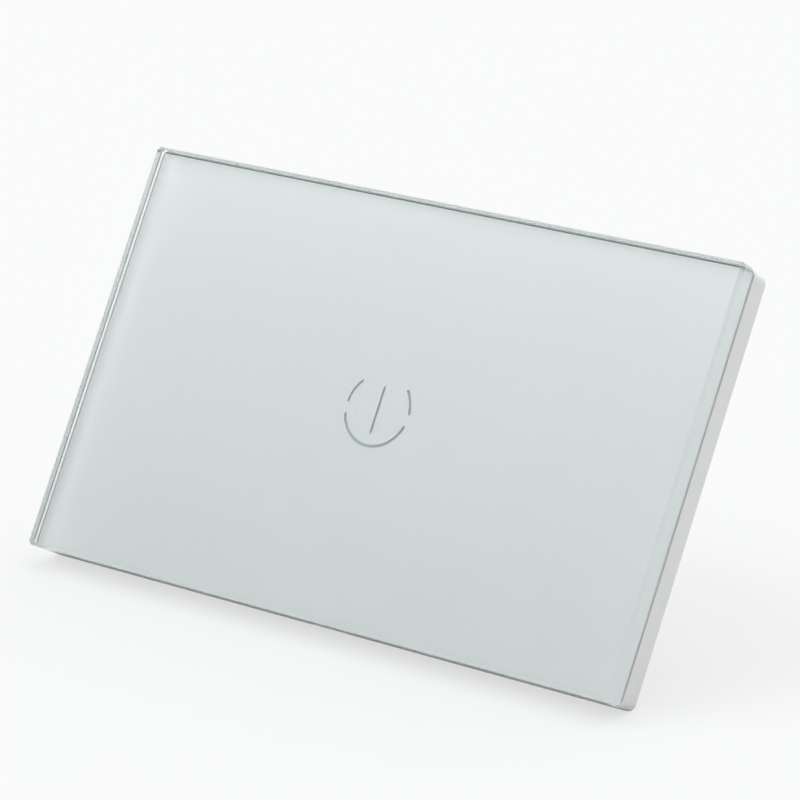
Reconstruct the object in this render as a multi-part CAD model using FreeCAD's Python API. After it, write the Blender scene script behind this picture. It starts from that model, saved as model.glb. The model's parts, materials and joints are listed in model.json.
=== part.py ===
import FreeCAD, Part
import math
import os

# A glass-fronted smart touch switch for a landscape wall box.
# Millimetres. X is right, +Y goes into the wall, +Z is up; Y = 0 is the face of the wall.
Vector = FreeCAD.Vector
into_wall = Vector(0, 1, 0)

# Glass panel with its white film and tape
panel_width = 118.0
panel_height = 71.7
glass_thickness = 3.8
glass_corner_cut = 0.6
glass_arris_front = 0.5
glass_arris_rear = 0.3
film_thickness = 0.12
film_glue = 0.03
film_inset = 0.3
tape_thickness = 0.25
tape_inset = 0.8

# Power sign, left clear in the film: three arcs and an upright bar
sign_centre_z = 0.4
sign_radius = 6.15
sign_line = 0.5
sign_upper_arc = (5.0, 41.5)
sign_lower_arc = (-162.5, -17.5)
sign_bar_top = 4.0
sign_bar_bottom = -4.0

# Moulded frame that carries the glass
frame_depth = 4.7
frame_inset = 0.15
frame_wall = 2.2
frame_plate = 1.2
frame_corner = 1.3
frame_rear_round = 1.2
frame_wall_gap = 0.1
frame_window_width = 92.0
frame_window_height = 46.0
pry_notch_width = 7.0
pry_notch_depth = 1.3

# Snap hooks of the frame
hook_spread_x = 38.0
hook_skirt_gap = 2.1
hook_width = 8.0
hook_thickness = 1.2
hook_nose = 0.6
hook_nose_height = 0.8
hook_play = 0.15
hook_flex_room = 1.0

# Base frame, which screws to the steel strap
base_clearance = 0.8
base_plate = 1.9
base_skirt = 1.4
base_skirt_gap = 0.3
base_corner = 2.0
base_window_width = 38.0
base_window_height = 24.0
access_slot_radius = 4.3
access_slot_length = 15.0

# Steel mounting strap with the two slots for the box screws
strap_thickness = 1.2
strap_corner = 3.0
strap_window_play = 0.8
strap_side_gap = 2.85
strap_hook_gap = 0.4
fixing_centres = 83.5
fixing_slot_radius = 2.0
fixing_slot_length = 8.0
strap_screw_inset_x = 4.8
strap_screw_inset_z = 5.0
strap_screw_radius = 1.1
strap_screw_head_radius = 2.0
strap_screw_bite = 1.4
strap_screw_land = 0.15

# Rear housing in the wall box
housing_width = 64.8
housing_height = 41.0
housing_wall = 1.8
housing_rear_gap = 0.3
housing_corner = 3.0
housing_draft = 0.4
housing_rear_edge = 0.8
tunnel_radius = 2.4
tunnel_in_wall = 0.4
housing_screw_radius = 1.1
housing_screw_length = 12.0
housing_screw_head_radius = 2.1
housing_screw_head = 1.2
vent_width = 1.4
vent_length = 9.0
vent_pitch = 3.6
top_vents = 11
side_vents = 5
ledge_thickness = 1.6
ledge_spread = 6.0
ledge_reach = 3.6

# Boards
touch_board_side_gap = 1.2
touch_board_end_gap = 2.0
touch_board_thickness = 1.2
touch_board_front = 1.5
power_board_side_gap = 1.3
power_board_end_gap = 1.5
power_board_thickness = 1.6
board_corner = 1.0
board_notch_play = 0.6
board_boss_inset = 3.2
board_boss_radius = 2.0
board_screw_radius = 0.85
board_screw_length = 3.6
board_screw_head_radius = 1.8
board_screw_head = 1.1
peg_inset = 1.8
peg_radius = 1.2
lead_play = 0.12
lead_tail = 1.1
screw_play = 0.02
small_screw_sides = 10
screw_head_sides = 16
peg_sides = 8

# Touch spring, lamps and light guide behind the sign
spring_radius = 2.9
spring_wire = 0.45
spring_turns = 2.5
spring_wire_sides = 6
spring_bend = 0.7
spring_seat_gap = 0.05
lamp_ring_radius = 5.7
lamp_count = 4
lamp_side = 1.6
lamp_sides = 8
lamp_height = 0.8
guide_radius = 8.2
guide_wall = 1.0
guide_face = 1.2
guide_film_gap = 0.35

# Radio board and the link between the two boards
radio_x = -11.0
radio_width = 16.0
radio_height = 24.0
radio_thickness = 0.8
radio_pad_radius = 0.4
radio_pad_pitch = 2.0
radio_pads = 8
radio_pad_sides = 8
radio_pad_offset = 3.0
shield_width = 12.4
shield_height = 15.0
shield_depth = 2.2
shield_wall = 0.3
shield_edge_gap = 1.4
shield_corner = 0.8
link_x = 10.0
link_z = 12.0
link_pins = 6
link_pin_spacing = 2.54
link_pin_side = 0.64
link_body = 2.5
link_pin_end_gap = 0.5
header_depth = 1.6
socket_depth = 2.6
socket_hole_play = 0.15
socket_floor = 0.3
chip_standoff = 0.2
chip_leg_thickness = 0.25
chip_leg_reach = 1.1
touch_chip_x = 10.5
touch_chip_z = -6.0
touch_chip_width = 9.9
touch_chip_height = 3.9
touch_chip_depth = 1.6
touch_chip_legs = 8

# Terminal block with three rising clamps
terminal_count = 3
terminal_pitch = 7.62
terminal_side_wall = 0.8
terminal_wall_gap = 0.7
terminal_front_wall = 1.8
terminal_back_wall = 2.0
terminal_mouth = 0.6
clamp_width = 5.0
clamp_depth = 5.0
clamp_wall = 0.75
clamp_floor = 1.1
clamp_roof = 1.3
clamp_start = 1.9
clamp_play = 0.2
clamp_travel = 2.5
wire_space = 3.4
contact_width = 3.2
contact_thickness = 0.8
contact_play = 0.6
terminal_screw_radius = 1.25
terminal_screw_head_radius = 1.95
terminal_screw_head = 2.2
terminal_ledge = 0.8
terminal_head_play = 0.2
terminal_access_play = 0.4
thread_play = 0.05
seat_play = 0.05
screw_edge_cut = 0.25
wire_entry = 3.6
wire_entry_flare = 0.7

# Relay
relay_terminal_gap = 2.25
relay_width = 19.0
relay_height = 15.5
relay_side_gap = 0.5
relay_wall = 0.7
relay_corner = 0.8
relay_fit = 0.05
relay_foot = 0.3
relay_base_thickness = 1.7
relay_core_radius = 1.8
relay_core_head = 0.9
relay_core_rise = 0.4
relay_spool_wall = 0.6
relay_coil_radius = 4.2
relay_coil_length = 8.8
relay_coil_gap = 0.1
relay_flange = 0.8
relay_iron = 1.0
relay_yoke_gap = 0.5
relay_pole_gap = 0.7
relay_top_gap = 0.35
relay_armature_width = 8.0
relay_armature_length = 11.3
relay_blade = 0.25
relay_blade_width = 4.0
relay_contact_reach = 3.4
relay_contact_radius = 1.2
relay_contact_height = 0.8
relay_contact_gap = 1.3
relay_post = 0.8
relay_pin_inset = 2.0
relay_pin_spacing = 5.5

# Transformer
transformer_side_gap = 1.5
transformer_fuse_gap = 1.5
core_length = 16.0
core_height = 13.8
core_depth = 5.0
core_yoke = 2.0
core_outer_leg = 1.9
core_middle_leg = 4.2
bobbin_wall = 0.6
bobbin_play = 0.1
winding_depth = 2.0
bobbin_flange = 0.7
bobbin_foot = 0.9
bobbin_pins = 4
bobbin_pin_pitch = 3.5

# Other parts on the power board
large_can_radius = 4.0
large_can_height = 12.5
small_can_radius = 3.15
small_can_height = 11.0
can_groove_start = 1.2
can_groove = 0.4
can_edge = 0.4
can_score = 0.2
part_gap = 1.1
fuse_end_gap = 5.8
fuse_wall_gap = 3.0
fuse_radius = 4.0
fuse_height = 7.6
varistor_end_gap = 6.6
varistor_wall_gap = 5.6
varistor_radius = 3.7
varistor_thickness = 3.2
varistor_lift = 1.0
varistor_edge = 0.9
choke_radius = 3.0
choke_wall_gap = 0.9
choke_height = 9.0
choke_flange = 1.2
choke_waist = 1.4
rectifier_width = 6.4
rectifier_height = 4.6
rectifier_depth = 2.4
rectifier_legs = 2
regulator_width = 4.9
regulator_height = 3.9
regulator_depth = 1.6
regulator_legs = 4
chip_wall_gap = 1.9
lead_radius = 0.3
lead_sides = 6
lead_spacing = 3.5
part_lift = 0.3

# Places that follow from the sizes above
frame_front = -frame_depth
frame_plate_rear = frame_front + frame_plate
tape_front = frame_front - tape_thickness
film_front = tape_front - film_thickness
glass_front = film_front - film_glue - glass_thickness
frame_width = panel_width - 2 * frame_inset
frame_height = panel_height - 2 * frame_inset
strap_front = -strap_thickness
base_front = strap_front - base_plate
base_width = frame_width - 2 * (frame_wall + base_clearance)
base_height = frame_height - 2 * (frame_wall + base_clearance)
hook_spread_z = base_height / 2 - base_skirt - hook_skirt_gap - hook_nose - hook_thickness / 2
strap_width = base_width - 2 * strap_side_gap
strap_height = 2 * (hook_spread_z - hook_thickness / 2 - hook_flex_room - strap_hook_gap)
strap_screw_x = housing_width / 2 + strap_window_play + strap_screw_inset_x
strap_screw_z = strap_height / 2 - strap_screw_inset_z
strap_screw_sink = strap_screw_head_radius - strap_screw_radius

cavity_width = housing_width - 2 * housing_wall
cavity_height = housing_height - 2 * housing_wall
tunnel_x = cavity_width / 2 - tunnel_radius + tunnel_in_wall
tunnel_z = cavity_height / 2 - tunnel_radius + tunnel_in_wall
ledge_inner = cavity_width / 2 - ledge_reach
touch_board_width = 2 * (tunnel_x - tunnel_radius - touch_board_side_gap)
touch_board_height = cavity_height - 2 * touch_board_end_gap
touch_board_rear = touch_board_front + touch_board_thickness
power_board_width = cavity_width - 2 * power_board_side_gap
power_board_height = cavity_height - 2 * power_board_end_gap
power_board_front = touch_board_rear + header_depth + socket_depth
power_board_rear = power_board_front + power_board_thickness
board_boss_x = touch_board_width / 2 - board_boss_inset
board_boss_z = touch_board_height / 2 - board_boss_inset
peg_x = power_board_width / 2 - peg_inset
film_rear = tape_front
guide_front = film_rear + guide_film_gap
guide_face_rear = guide_front + guide_face

terminal_bottom = -cavity_height / 2 + terminal_wall_gap
clamp_height = clamp_floor + wire_space + contact_thickness + contact_play + clamp_roof
clamp_z = terminal_bottom + terminal_front_wall + clamp_play + clamp_depth / 2
clamp_front = power_board_rear + clamp_start
contact_front = clamp_front + clamp_floor + wire_space
terminal_leg_z = clamp_z + clamp_depth / 2 + clamp_play + contact_thickness / 2
terminal_top = terminal_leg_z + contact_thickness / 2 + terminal_back_wall
terminal_ledge_front = clamp_front + clamp_height + clamp_travel + clamp_play
terminal_head_front = terminal_ledge_front + terminal_ledge
terminal_rear = terminal_head_front + terminal_screw_head + terminal_mouth

relay_x = -ledge_inner + relay_side_gap + relay_width / 2
relay_z = terminal_top + relay_terminal_gap + relay_height / 2
relay_base_rear = power_board_rear + relay_foot + relay_base_thickness
relay_coil_front = relay_base_rear + relay_iron + relay_coil_gap
relay_coil_rear = relay_coil_front + relay_coil_length
relay_core_rear = relay_coil_rear + relay_core_rise
armature_front = relay_core_rear + relay_pole_gap
armature_rear = armature_front + relay_iron
relay_rear = armature_rear + relay_blade + relay_top_gap + relay_wall
yoke_outer_x = relay_x - relay_width / 2 + relay_wall + relay_yoke_gap
yoke_inner_x = yoke_outer_x + relay_iron
relay_coil_x = yoke_inner_x + relay_coil_gap + relay_coil_radius
armature_end_x = yoke_outer_x + relay_armature_length
relay_contact_x = armature_end_x + relay_contact_reach
fixed_contact_rear = armature_rear - relay_contact_height - relay_contact_gap

cavity_rear = max(terminal_rear, relay_rear) + housing_rear_gap
housing_depth = cavity_rear + housing_wall
transformer_x = ledge_inner - transformer_side_gap - core_length / 2
transformer_reach = core_depth / 2 + bobbin_play + bobbin_wall + winding_depth
fuse_x = power_board_width / 2 - fuse_end_gap - fuse_radius
fuse_z = -cavity_height / 2 + fuse_wall_gap + fuse_radius
transformer_z = fuse_z + fuse_radius + transformer_fuse_gap + transformer_reach
varistor_x = -power_board_width / 2 + varistor_end_gap + varistor_radius
varistor_z = -cavity_height / 2 + varistor_wall_gap + varistor_thickness / 2
middle_x = (relay_x + relay_width / 2 + transformer_x - core_length / 2) / 2
small_can_z = terminal_top + part_gap + small_can_radius
large_can_z = small_can_z + small_can_radius + part_gap + large_can_radius
choke_x = relay_x + relay_width / 2 + relay_side_gap + choke_radius
choke_z = cavity_height / 2 - choke_wall_gap - choke_radius
rectifier_x = middle_x + large_can_radius + part_gap + rectifier_width / 2
regulator_x = rectifier_x + (rectifier_width + regulator_width) / 2 + part_gap
rectifier_z = cavity_height / 2 - chip_wall_gap - chip_leg_reach - rectifier_height / 2
regulator_z = cavity_height / 2 - chip_wall_gap - chip_leg_reach - regulator_height / 2


def block(low_x, high_x, low_y, high_y, low_z, high_z):
    corner = Vector(low_x, low_y, low_z)
    return Part.makeBox(high_x - low_x, high_y - low_y, high_z - low_z, corner)


def centred_block(centre_x, centre_z, width, height, front, rear):
    return block(centre_x - width / 2, centre_x + width / 2, front, rear,
                 centre_z - height / 2, centre_z + height / 2)


def rod(centre_x, centre_z, radius, front, rear):
    return Part.makeCylinder(radius, rear - front, Vector(centre_x, front, centre_z), into_wall)


def corners(half_x, half_z):
    return [(side * half_x, end * half_z) for side in (-1, 1) for end in (-1, 1)]


def rounded_outline(width, height, radius, level, centre_x=0.0, centre_z=0.0):
    """Closed wire of a rounded rectangle in the plane Y = level."""
    reach = math.sqrt(0.5) * radius
    edges = []
    last = None
    first = None
    for turn in range(4):
        angle = math.radians(90 * turn)
        sign_x = 1 if turn in (0, 3) else -1
        sign_z = 1 if turn in (0, 1) else -1
        middle_x = centre_x + sign_x * (width / 2 - radius)
        middle_z = centre_z + sign_z * (height / 2 - radius)
        start = Vector(middle_x + radius * math.cos(angle), level, middle_z + radius * math.sin(angle))
        peak = Vector(middle_x + sign_x * reach, level, middle_z + sign_z * reach)
        stop = Vector(middle_x - radius * math.sin(angle), level, middle_z + radius * math.cos(angle))
        if last is not None:
            edges.append(Part.LineSegment(last, start).toShape())
        edges.append(Part.Arc(start, peak, stop).toShape())
        first = first or start
        last = stop
    edges.append(Part.LineSegment(last, first).toShape())
    return Part.Wire(edges)


def rounded_plate(width, height, radius, front, rear, centre_x=0.0, centre_z=0.0):
    face = Part.Face(rounded_outline(width, height, radius, front, centre_x, centre_z))
    return face.extrude(Vector(0, rear - front, 0))


def slot_plate(centre_x, centre_z, length, radius, front, rear):
    """Solid with the outline of a slot that runs along X."""
    reach = length / 2 - radius
    middle = block(centre_x - reach, centre_x + reach, front, rear, centre_z - radius, centre_z + radius)
    ends = [rod(centre_x + side * reach, centre_z, radius, front, rear) for side in (-1, 1)]
    return middle.fuse(ends).removeSplitter()


def fused(shapes):
    return shapes[0].fuse(shapes[1:]).removeSplitter()


def group(shapes):
    return Part.makeCompound(shapes)


def edges_at_level(shape, level):
    return [edge for edge in shape.Edges
            if all(abs(vertex.Y - level) < 1e-6 for vertex in edge.Vertexes)]


def polygon_prism(points, front, rear):
    wire = Part.makePolygon([Vector(x, front, z) for x, z in points + points[:1]])
    return Part.Face(wire).extrude(Vector(0, rear - front, 0))


def pin(centre_x, centre_z, radius, front, rear, sides=lead_sides):
    """Thin straight pin or its hole, with flat sides."""
    turns = [math.pi * (2 * index + 1) / sides for index in range(sides)]
    return polygon_prism([(centre_x + radius * math.cos(turn), centre_z + radius * math.sin(turn))
                          for turn in turns], front, rear)


def screw_hole(centre_x, centre_z, radius, front, rear):
    return pin(centre_x, centre_z, radius + screw_play, front, rear, small_screw_sides)


def round_head(centre_x, centre_z, radius, front, rear):
    """Head of a screw or rivet, or the hole for it."""
    return pin(centre_x, centre_z, radius, front, rear, screw_head_sides)


def sunk_head(centre_x, centre_z, radius):
    """Countersunk head, or its sink, with a thin land at the wall's face."""
    front = -strap_screw_sink - strap_screw_land
    head = round_head(centre_x, centre_z, radius, front, 0)
    return head.makeChamfer(strap_screw_sink, edges_at_level(head, front))


def arc_slot(radius, width, start_angle, stop_angle, front, rear):
    """Round-ended curved slot about the middle of the sign."""
    def point(distance, degrees):
        angle = math.radians(degrees)
        return Vector(distance * math.cos(angle), front, sign_centre_z + distance * math.sin(angle))

    outer = radius + width / 2
    inner = radius - width / 2
    middle_angle = (start_angle + stop_angle) / 2
    cap_turn = math.degrees(width / 2 / radius)
    outline = Part.Wire([
        Part.Arc(point(outer, start_angle), point(outer, middle_angle), point(outer, stop_angle)).toShape(),
        Part.Arc(point(outer, stop_angle), point(radius, stop_angle + cap_turn),
                 point(inner, stop_angle)).toShape(),
        Part.Arc(point(inner, stop_angle), point(inner, middle_angle), point(inner, start_angle)).toShape(),
        Part.Arc(point(inner, start_angle), point(radius, start_angle - cap_turn),
                 point(outer, start_angle)).toShape(),
    ])
    return Part.Face(outline).extrude(Vector(0, rear - front, 0))


# Front panel: glass, film, tape and frame
def glass_panel():
    x = panel_width / 2
    z = panel_height / 2
    cut = glass_corner_cut
    points = [(x - cut, -z), (x, -z + cut), (x, z - cut), (x - cut, z),
              (-x + cut, z), (-x, z - cut), (-x, -z + cut), (-x + cut, -z)]
    glass_rear = glass_front + glass_thickness
    glass = polygon_prism(points, glass_front, glass_rear)
    glass = glass.makeChamfer(glass_arris_front, edges_at_level(glass, glass_front))
    return glass.makeChamfer(glass_arris_rear, edges_at_level(glass, glass_rear))


def icon_film():
    width = panel_width - 2 * film_inset
    height = panel_height - 2 * film_inset
    film = rounded_plate(width, height, glass_corner_cut, film_front, tape_front)
    low, high = sign_upper_arc
    arcs = [sign_upper_arc, (180 - high, 180 - low), sign_lower_arc]
    slots = [arc_slot(sign_radius, sign_line, start, stop, film_front, tape_front)
             for start, stop in arcs]
    slots.append(rounded_plate(sign_line, sign_bar_top - sign_bar_bottom, sign_line * 0.49, film_front,
                               tape_front, 0, sign_centre_z + (sign_bar_top + sign_bar_bottom) / 2))
    return film.cut(slots)


def adhesive_tape():
    width = panel_width - 2 * tape_inset
    height = panel_height - 2 * tape_inset
    tape = rounded_plate(width, height, glass_corner_cut, tape_front, frame_front)
    window = rounded_plate(frame_window_width, frame_window_height, base_corner, tape_front, frame_front)
    return tape.cut(window)


def snap_hook(centre_x, side):
    """Arm behind the frame plate with a nose that catches behind the base frame."""
    inner = hook_spread_z - hook_thickness / 2
    outer = hook_spread_z + hook_thickness / 2
    catch = strap_front + hook_play
    tip = catch + hook_nose_height
    outline = [(inner, frame_plate_rear), (outer, frame_plate_rear), (outer, catch),
               (outer + hook_nose, catch), (outer, tip), (inner, tip)]
    points = [Vector(centre_x - hook_width / 2, y, side * z) for z, y in outline]
    face = Part.Face(Part.makePolygon(points + points[:1]))
    return face.extrude(Vector(hook_width, 0, 0))


def front_frame():
    rear = -frame_wall_gap
    frame = rounded_plate(frame_width, frame_height, frame_corner, frame_front, rear)
    frame = frame.makeFillet(frame_rear_round, edges_at_level(frame, rear))
    cavity = rounded_plate(frame_width - 2 * frame_wall, frame_height - 2 * frame_wall,
                           frame_corner / 2, frame_plate_rear, rear)
    window = rounded_plate(frame_window_width, frame_window_height, base_corner,
                           frame_front, frame_plate_rear)
    notch = centred_block(0, -frame_height / 2, pry_notch_width, 2 * frame_wall,
                          rear - pry_notch_depth, rear)
    frame = frame.cut([cavity, window, notch])
    hooks = [snap_hook(x, side) for x in (-hook_spread_x, hook_spread_x) for side in (-1, 1)]
    return frame.fuse(hooks).removeSplitter()


# Base frame, strap and housing
def base_frame():
    plate = rounded_plate(base_width, base_height, base_corner, base_front, strap_front)
    skirt_rear = -base_skirt_gap
    skirt = rounded_plate(base_width, base_height, base_corner, strap_front, skirt_rear)
    inside = rounded_plate(base_width - 2 * base_skirt, base_height - 2 * base_skirt,
                           base_corner / 2, strap_front, skirt_rear)
    bosses = [rod(x, z, board_boss_radius, strap_front, touch_board_front)
              for x, z in corners(board_boss_x, board_boss_z)]
    pegs = [pin(x, z, peg_radius, strap_front, power_board_front, peg_sides)
            for x, z in corners(peg_x, ledge_spread)]
    body = fused([plate, skirt.cut(inside)] + bosses + pegs)
    cuts = [rounded_plate(base_window_width, base_window_height, base_corner, base_front, strap_front)]
    for x, z in corners(hook_spread_x, hook_spread_z):
        side = math.copysign(1, z)
        low = hook_spread_z - hook_thickness / 2 - hook_flex_room
        high = hook_spread_z + hook_thickness / 2 + hook_play
        cuts.append(centred_block(x, side * (low + high) / 2, hook_width + 2 * hook_play,
                                  high - low, base_front, strap_front))
    for side in (-1, 1):
        cuts.append(slot_plate(side * fixing_centres / 2, 0, access_slot_length, access_slot_radius,
                               base_front, strap_front))
    for x, z in corners(tunnel_x, tunnel_z):
        cuts.append(screw_hole(x, z, housing_screw_radius, base_front, strap_front))
        cuts.append(round_head(x, z, housing_screw_head_radius + hook_play, base_front,
                               base_front + housing_screw_head))
    for x, z in corners(strap_screw_x, strap_screw_z):
        cuts.append(screw_hole(x, z, strap_screw_radius, strap_front - strap_screw_bite, strap_front))
    for x, z in corners(board_boss_x, board_boss_z):
        tip = touch_board_rear - board_screw_length
        cuts.append(screw_hole(x, z, board_screw_radius, tip, touch_board_front))
    return body.cut(cuts)


def mounting_strap():
    strap = rounded_plate(strap_width, strap_height, strap_corner, strap_front, 0)
    cuts = [rounded_plate(housing_width + 2 * strap_window_play, housing_height + 2 * strap_window_play,
                          housing_corner + strap_window_play, strap_front, 0)]
    for side in (-1, 1):
        cuts.append(slot_plate(side * fixing_centres / 2, 0, fixing_slot_length, fixing_slot_radius,
                               strap_front, 0))
    for x, z in corners(strap_screw_x, strap_screw_z):
        cuts.append(screw_hole(x, z, strap_screw_radius, strap_front, 0))
        cuts.append(sunk_head(x, z, strap_screw_head_radius + screw_play))
    return strap.cut(cuts)


def strap_screws():
    screws = []
    for x, z in corners(strap_screw_x, strap_screw_z):
        head = sunk_head(x, z, strap_screw_head_radius)
        shank = pin(x, z, strap_screw_radius, strap_front - strap_screw_bite, -strap_screw_sink,
                    small_screw_sides)
        recess = cross_recess(x, z, strap_screw_head_radius, 0, -strap_screw_sink)
        screws.append(fused([head, shank]).cut(recess))
    return group(screws)


def cross_recess(x, z, head_radius, mouth, depth):
    """Cross recess cut into a screw head from the level mouth, depth long."""
    arm = head_radius * 1.2
    width = head_radius * 0.3
    low, high = sorted((mouth, mouth + depth * 0.7))
    return fused([centred_block(x, z, arm, width, low, high), centred_block(x, z, width, arm, low, high)])


def drafted_box(inset, rear, corner):
    """Box that narrows towards the rear like the housing, with rounded long edges."""
    x = housing_width / 2 - inset
    z = housing_height / 2 - inset
    draft = housing_draft * (rear - strap_front) / (housing_depth - strap_front)
    box = Part.makeWedge(-x, strap_front, -z, -z + draft, -x + draft, x, rear, z, z - draft, x - draft)
    long_edges = [edge for edge in box.Edges if abs(edge.Vertexes[0].Y - edge.Vertexes[-1].Y) > 1]
    return box.makeFillet(corner, long_edges)


def housing_shell():
    outer = drafted_box(0, housing_depth, housing_corner)
    outer = outer.makeChamfer(housing_rear_edge, edges_at_level(outer, housing_depth))
    return outer.cut(drafted_box(housing_wall, cavity_rear, housing_corner - housing_wall))


def wire_mouth(x):
    """Flared wire entry through the lower wall, in line with a clamp."""
    half = wire_entry / 2
    wide = half + wire_entry_flare
    outside = housing_height / 2
    inside = cavity_height / 2 - housing_wall
    middle_y = contact_front - half
    throat = block(x - half, x + half, middle_y - half, middle_y + half, -outside, -inside)
    flare = Part.makeWedge(-half, 0, -half, -wide, -wide, half, wire_entry_flare, half, wide, wide)
    flare.rotate(Vector(0, 0, 0), Vector(1, 0, 0), -90)
    flare.translate(Vector(x, middle_y, wire_entry_flare - outside))
    return fused([throat, flare])


def rear_housing():
    shell = housing_shell()
    tunnels = [rod(x, z, tunnel_radius, strap_front, cavity_rear + housing_wall / 2)
               for x, z in corners(tunnel_x, tunnel_z)]
    ledges = []
    for side in (-1, 1):
        low, high = sorted((side * (cavity_width + housing_wall) / 2, side * ledge_inner))
        for z in (-ledge_spread, ledge_spread):
            ledges.append(block(low, high, power_board_rear, cavity_rear + housing_wall / 2,
                                z - ledge_thickness / 2, z + ledge_thickness / 2))
    body = fused([shell] + tunnels + ledges)
    screw_tip = base_front + housing_screw_head + housing_screw_length
    cuts = [screw_hole(x, z, housing_screw_radius, strap_front, screw_tip)
            for x, z in corners(tunnel_x, tunnel_z)]
    for x in terminal_places():
        cuts.append(rod(x, clamp_z, terminal_screw_head_radius + terminal_access_play,
                        cavity_rear, housing_depth))
        cuts.append(wire_mouth(x))
    vent_middle = (power_board_rear + cavity_rear) / 2
    for index in range(top_vents):
        x = (index - (top_vents - 1) / 2) * vent_pitch
        cuts.append(block(x - vent_width / 2, x + vent_width / 2, vent_middle - vent_length / 2,
                          vent_middle + vent_length / 2, cavity_height / 2 - housing_draft * 2,
                          housing_height / 2))
    for index in range(side_vents):
        y = vent_middle + (index - (side_vents - 1) / 2) * 2 * vent_width
        for side in (-1, 1):
            low, high = sorted((side * (cavity_width / 2 - housing_draft * 2), side * housing_width / 2))
            cuts.append(block(low, high, y - vent_width / 2, y + vent_width / 2,
                              -ledge_spread + ledge_thickness, ledge_spread - ledge_thickness))
    return body.cut(cuts)


def housing_screws():
    screws = []
    for x, z in corners(tunnel_x, tunnel_z):
        seat = base_front + housing_screw_head
        head = round_head(x, z, housing_screw_head_radius, base_front, seat)
        shank = pin(x, z, housing_screw_radius, seat, seat + housing_screw_length, small_screw_sides)
        recess = cross_recess(x, z, housing_screw_head_radius, base_front, housing_screw_head)
        screws.append(fused([head, shank]).cut(recess))
    return group(screws)


# Touch board and what it carries
def touch_board():
    board = rounded_plate(touch_board_width, touch_board_height, board_corner,
                          touch_board_front, touch_board_rear)
    holes = [pin(x, z, board_screw_radius + lead_play, touch_board_front, touch_board_rear,
                 small_screw_sides)
             for x, z in corners(board_boss_x, board_boss_z)]
    return board.cut(holes)


def board_screws():
    screws = []
    for x, z in corners(board_boss_x, board_boss_z):
        shank = pin(x, z, board_screw_radius, touch_board_rear - board_screw_length, touch_board_rear,
                    small_screw_sides)
        rear = touch_board_rear + board_screw_head
        head = round_head(x, z, board_screw_head_radius, touch_board_rear, rear)
        screw = fused([shank, head])
        screws.append(screw.cut(cross_recess(x, z, board_screw_head_radius, rear, -board_screw_head)))
    return group(screws)


def flat_chip(centre_x, centre_z, width, height, depth, legs):
    """Chip body on bent legs along its two long sides; returns it standing on Y = 0."""
    knee = depth / 2
    pitch = width / legs
    pieces = [centred_block(centre_x, centre_z, width, height, chip_standoff, depth)]
    for index in range(legs):
        x = centre_x + (index - (legs - 1) / 2) * pitch
        for side in (-1, 1):
            edge = centre_z + side * height / 2
            bend = edge + side * chip_leg_reach * 0.4
            after = bend + side * chip_leg_thickness
            tip = edge + side * chip_leg_reach
            for (near, far), (low, high) in (((edge, after), (knee, knee + chip_leg_thickness)),
                                             ((bend, after), (0, knee + chip_leg_thickness)),
                                             ((bend, tip), (0, chip_leg_thickness))):
                pieces.append(block(x - pitch / 6, x + pitch / 6, low, high,
                                    min(near, far), max(near, far)))
    return fused(pieces)


def seated(shape, level):
    shape.translate(Vector(0, level, 0))
    return shape


def touch_chip():
    chip = flat_chip(touch_chip_x, touch_chip_z, touch_chip_width, touch_chip_height,
                     touch_chip_depth, touch_chip_legs)
    return seated(chip, touch_board_rear)


def indicator_leds():
    lamps = []
    for index in range(lamp_count):
        angle = math.radians(45 + 360 / lamp_count * index)
        x = lamp_ring_radius * math.cos(angle)
        z = sign_centre_z + lamp_ring_radius * math.sin(angle)
        base = centred_block(x, z, lamp_side, lamp_side, touch_board_front - lamp_height / 2,
                             touch_board_front)
        lens = pin(x, z, lamp_side / 2, touch_board_front - lamp_height, touch_board_front - lamp_height / 2,
                   lamp_sides)
        lamps.append(fused([base, lens]))
    return group(lamps)


def light_guide():
    """Frosted cup over the spring and lamps, with its skirt on the board and its face behind the sign."""
    skirt_inner = guide_radius - guide_wall
    profile = [(0, guide_front), (guide_radius, guide_front), (guide_radius, touch_board_front),
               (skirt_inner, touch_board_front), (skirt_inner, guide_face_rear), (0, guide_face_rear)]
    points = [Vector(r, y, sign_centre_z) for r, y in profile]
    face = Part.Face(Part.makePolygon(points + points[:1]))
    return face.revolve(Vector(0, 0, sign_centre_z), into_wall, 360)


def biarc(start, start_way, stop, stop_way):
    """Two arcs that leave start along start_way and reach stop along stop_way."""
    chord = stop - start
    ways = start_way + stop_way
    spread = 2 * (1 - start_way.dot(stop_way))
    pull = chord.dot(ways)
    reach = (math.sqrt(pull * pull + spread * chord.dot(chord)) - pull) / spread
    first = start + start_way * reach
    second = stop - stop_way * reach
    joint = (first + second) * 0.5
    edges = []
    for low, corner, high in ((start, first, joint), (joint, second, stop)):
        middle = (low + high) * 0.5
        share = (low - middle).Length / (low - corner).Length
        peak = middle + (corner - middle) * (share / (1 + share))
        edges.append(Part.Arc(low, peak, high).toShape())
    return edges


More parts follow.
